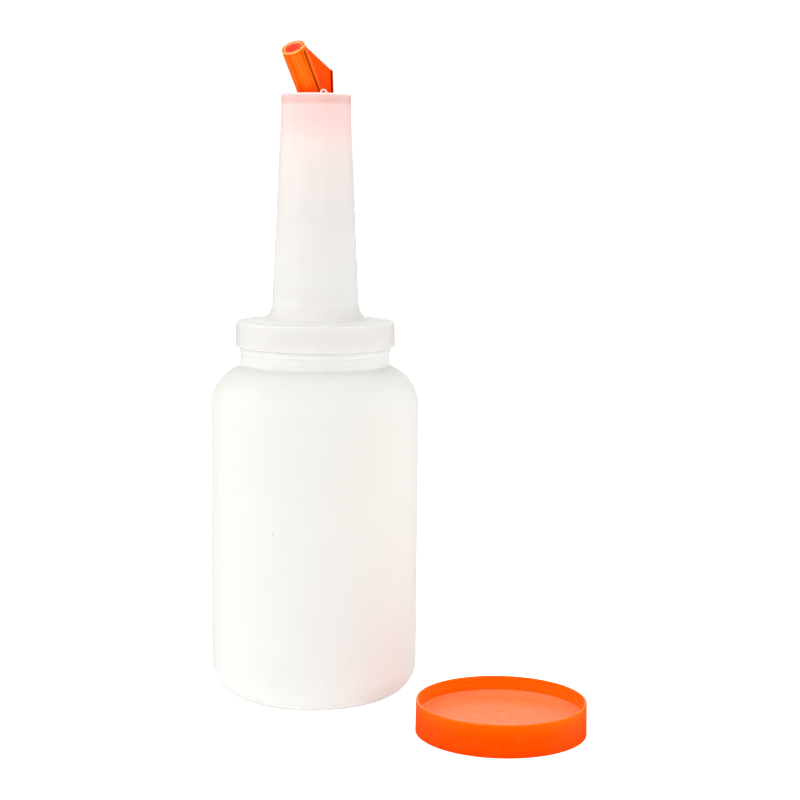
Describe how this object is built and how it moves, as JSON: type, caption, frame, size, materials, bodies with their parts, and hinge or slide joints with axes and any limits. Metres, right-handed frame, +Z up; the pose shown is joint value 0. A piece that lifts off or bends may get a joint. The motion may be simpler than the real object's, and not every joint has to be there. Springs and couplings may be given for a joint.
{
  "type": "store-and-pour bar pitcher",
  "caption": "Round translucent jar with a screw-on tapered pour neck, a leaning plug-in pour spout and a recessed screw lid beside it.",
  "frame": {"origin": "on the floor, at the centre of the jar's base", "axes": "+Z up along the jar's axis; the lid stands towards +X and -Y; the picture looks along +Y"},
  "size_m": [0.2129, 0.1843, 0.3749],
  "materials": {
    "jar": "translucent natural polyethylene, satin",
    "pour_neck": "translucent natural polyethylene, soft gloss",
    "neck_washer": "pale matte sealing washer",
    "pour_spout": "orange moulded plastic, soft gloss",
    "storage_lid": "orange moulded plastic, satin gloss"
  },
  "bodies": {
    "jar": {"jar": "jar"},
    "washer": {"neck_washer": "neck_washer"},
    "neck": {"pour_neck": "pour_neck"},
    "spout": {"pour_spout": "pour_spout"},
    "lid": {"storage_lid": "storage_lid"}
  },
  "joints": [
    {"name": "neck_lift", "type": "slide", "parent": "jar", "child": "washer", "axis": [0, 0, 1], "range_m": [0, 0.014]},
    {"name": "neck_turn", "type": "hinge", "parent": "washer", "child": "neck", "pos_m": [0, 0, 0.2158], "axis": [0, 0, 1], "range_deg": [0, 990]},
    {"name": "spout_pull", "type": "slide", "parent": "neck", "child": "spout", "axis": [0, 0, 1], "range_m": [0, 0.02]},
    {"name": "lid_lift", "type": "slide", "parent": "jar", "child": "lid", "axis": [0, 0, 1], "range_m": [0, 0.03]}
  ],
  "couplings": [
    {"joint": "neck_lift", "follows": "neck_turn", "m_per_rad": 0.00080851}
  ]
}
